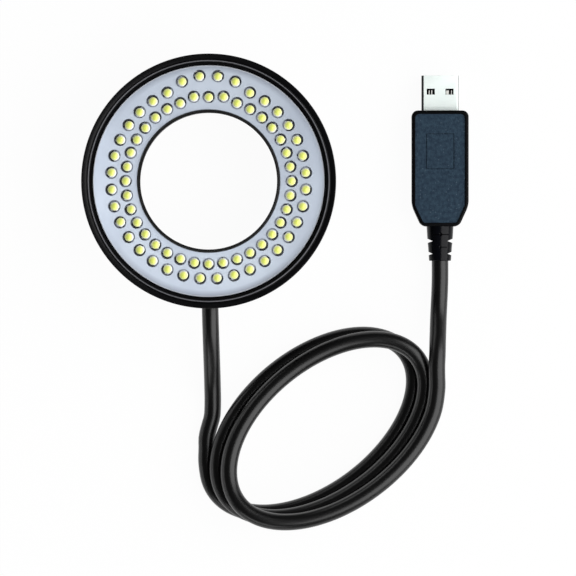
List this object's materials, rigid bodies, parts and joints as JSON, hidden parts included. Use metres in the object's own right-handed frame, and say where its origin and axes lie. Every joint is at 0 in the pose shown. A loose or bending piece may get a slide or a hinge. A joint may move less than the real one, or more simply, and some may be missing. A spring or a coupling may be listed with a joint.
{
  "type": "microscope ring light",
  "caption": "Round lamp ring that clamps round a microscope objective with thumbscrews, its lamps set in a bright plate, fed by a coiled cord with a USB plug.",
  "frame": {"origin": "on the ring's axis, in the plane of the clamp collar's end", "axes": "+Z along the ring's axis towards the lamps, the cord leaves the housing at -Y, the plug lies at +X and points along +Y"},
  "size_m": [0.1249, 0.1533, 0.0242],
  "materials": {
    "black_plastic": "satin moulded, faint grain",
    "black_rubber": "soft satin",
    "slate_plastic": "fine grain, blue-grey",
    "silver_plate": "bright silvery paint",
    "lamp_board": "clear lamps on a pale board",
    "steel": "nickel plated",
    "shell_steel": "bright, drawn lengthwise",
    "brass": "machined",
    "gold": "thin plating",
    "nylon": "natural",
    "white_plastic": "smooth",
    "red_insulation": "smooth",
    "chip": "dull"
  },
  "bodies": {
    "ring_light": {"back_cover": "black_plastic", "board_screw_1": "steel", "board_screw_2": "steel", "board_screw_3": "steel", "clamp_insert_1": "brass", "clamp_insert_2": "brass", "clamp_insert_3": "brass", "cord_coil": "black_rubber", "cord_end": "black_rubber", "cord_grommet": "black_rubber", "cord_lead": "black_rubber", "cord_tail": "black_rubber", "cover_screw_1": "steel", "cover_screw_2": "steel", "cover_screw_3": "steel", "cover_screw_4": "steel", "housing": "black_plastic", "lead_wire_black": "black_rubber", "lead_wire_red": "red_insulation", "led_board": "lamp_board", "led_plate": "silver_plate", "plug_body": "black_plastic", "plug_core": "white_plastic", "plug_panel_bottom": "slate_plastic", "plug_panel_top": "slate_plastic", "plug_wire_black": "black_rubber", "plug_wire_red": "red_insulation", "resistor_01": "chip", "resistor_02": "chip", "resistor_03": "chip", "resistor_04": "chip", "resistor_05": "chip", "resistor_06": "chip", "resistor_07": "chip", "resistor_08": "chip", "resistor_09": "chip", "resistor_10": "chip", "resistor_11": "chip", "resistor_12": "chip", "strain_relief": "black_rubber", "usb_contact_1": "gold", "usb_contact_2": "gold", "usb_contact_3": "gold", "usb_contact_4": "gold", "usb_insulator": "black_plastic", "usb_shell": "shell_steel"},
    "tip_1": {"clamp_tip_1": "nylon"},
    "thumbscrew_1": {"clamp_screw_1": "steel"},
    "tip_2": {"clamp_tip_2": "nylon"},
    "thumbscrew_2": {"clamp_screw_2": "steel"},
    "tip_3": {"clamp_tip_3": "nylon"},
    "thumbscrew_3": {"clamp_screw_3": "steel"}
  },
  "joints": [
    {"name": "clamp_travel_1", "type": "slide", "parent": "ring_light", "child": "tip_1", "axis": [0, -1, 0], "range_m": [-0.0021, 0.0042]},
    {"name": "clamp_turn_1", "type": "hinge", "parent": "tip_1", "child": "thumbscrew_1", "pos_m": [0, 0.0295, 0.0045], "axis": [0, -1, 0], "range_deg": [-1080, 2160]},
    {"name": "clamp_travel_2", "type": "slide", "parent": "ring_light", "child": "tip_2", "axis": [0.866, 0.5, 0], "range_m": [-0.0021, 0.0042]},
    {"name": "clamp_turn_2", "type": "hinge", "parent": "tip_2", "child": "thumbscrew_2", "pos_m": [-0.02555, -0.01475, 0.0045], "axis": [0.866, 0.5, 0], "range_deg": [-1080, 2160]},
    {"name": "clamp_travel_3", "type": "slide", "parent": "ring_light", "child": "tip_3", "axis": [-0.866, 0.5, 0], "range_m": [-0.0021, 0.0042]},
    {"name": "clamp_turn_3", "type": "hinge", "parent": "tip_3", "child": "thumbscrew_3", "pos_m": [0.02555, -0.01475, 0.0045], "axis": [-0.866, 0.5, 0], "range_deg": [-1080, 2160]}
  ],
  "couplings": [
    {"joint": "clamp_turn_1", "follows": "clamp_travel_1", "rad_per_m": 8975.9},
    {"joint": "clamp_turn_2", "follows": "clamp_travel_2", "rad_per_m": 8975.9},
    {"joint": "clamp_turn_3", "follows": "clamp_travel_3", "rad_per_m": 8975.9}
  ]
}
